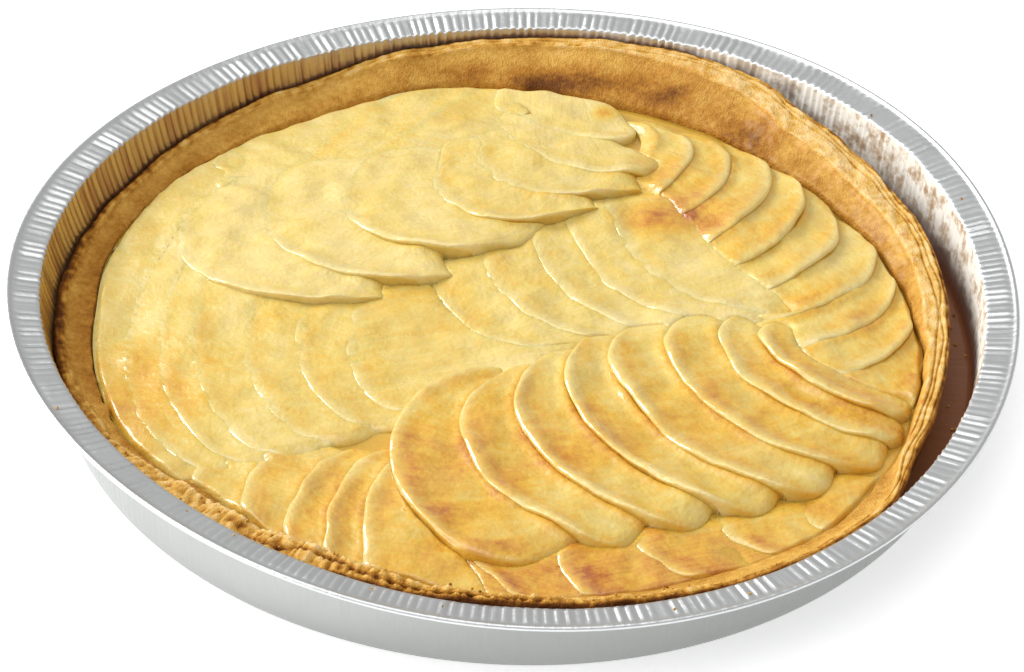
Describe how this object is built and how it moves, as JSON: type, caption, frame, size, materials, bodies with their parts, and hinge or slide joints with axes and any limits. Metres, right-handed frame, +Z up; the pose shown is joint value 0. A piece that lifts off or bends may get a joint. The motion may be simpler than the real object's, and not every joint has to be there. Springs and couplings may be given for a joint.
{
  "type": "apple tart",
  "caption": "Round open apple tart in a shallow foil tin: browned pastry rim around fans of glazed apple slices.",
  "frame": {"origin": "middle of the underside of the tin, under the middle of the rim's bounding box", "axes": "+Z up, +X to the right and +Y away from the front of the tart"},
  "size_m": [0.2802, 0.2804, 0.026],
  "materials": {
    "foil": "bright crimped foil",
    "pastry": "baked shortcrust, matt",
    "filling": "soft cooked apple under clear jelly",
    "apple": "baked apple with a thin clear glaze"
  },
  "bodies": {
    "root": {"apple_filling": "filling", "foil_tin": "foil", "pastry_crust": "pastry", "slice_back_edge_1": "apple", "slice_back_edge_2": "apple", "slice_back_edge_3": "apple", "slice_back_edge_4": "apple", "slice_back_left_1": "apple", "slice_back_left_2": "apple", "slice_back_left_3": "apple", "slice_back_left_4": "apple", "slice_back_left_5": "apple", "slice_back_left_6": "apple", "slice_back_left_7": "apple", "slice_centre_1": "apple", "slice_centre_2": "apple", "slice_centre_3": "apple", "slice_centre_4": "apple", "slice_centre_5": "apple", "slice_front_1": "apple", "slice_front_2": "apple", "slice_front_3": "apple", "slice_front_4": "apple", "slice_front_5": "apple", "slice_front_6": "apple", "slice_front_7": "apple", "slice_front_8": "apple", "slice_front_edge_1": "apple", "slice_front_edge_2": "apple", "slice_front_edge_3": "apple", "slice_front_edge_4": "apple", "slice_front_edge_5": "apple", "slice_front_edge_6": "apple", "slice_front_left_2": "apple", "slice_front_left_3": "apple", "slice_front_left_4": "apple", "slice_front_left_5": "apple", "slice_front_left_6": "apple", "slice_left_1": "apple", "slice_left_2": "apple", "slice_left_3": "apple", "slice_left_4": "apple", "slice_left_5": "apple", "slice_left_6": "apple", "slice_left_7": "apple", "slice_right_1": "apple", "slice_right_2": "apple", "slice_right_3": "apple", "slice_right_4": "apple", "slice_right_5": "apple", "slice_right_6": "apple", "slice_right_7": "apple", "slice_right_8": "apple", "slice_right_9": "apple"}
  },
  "joints": []
}
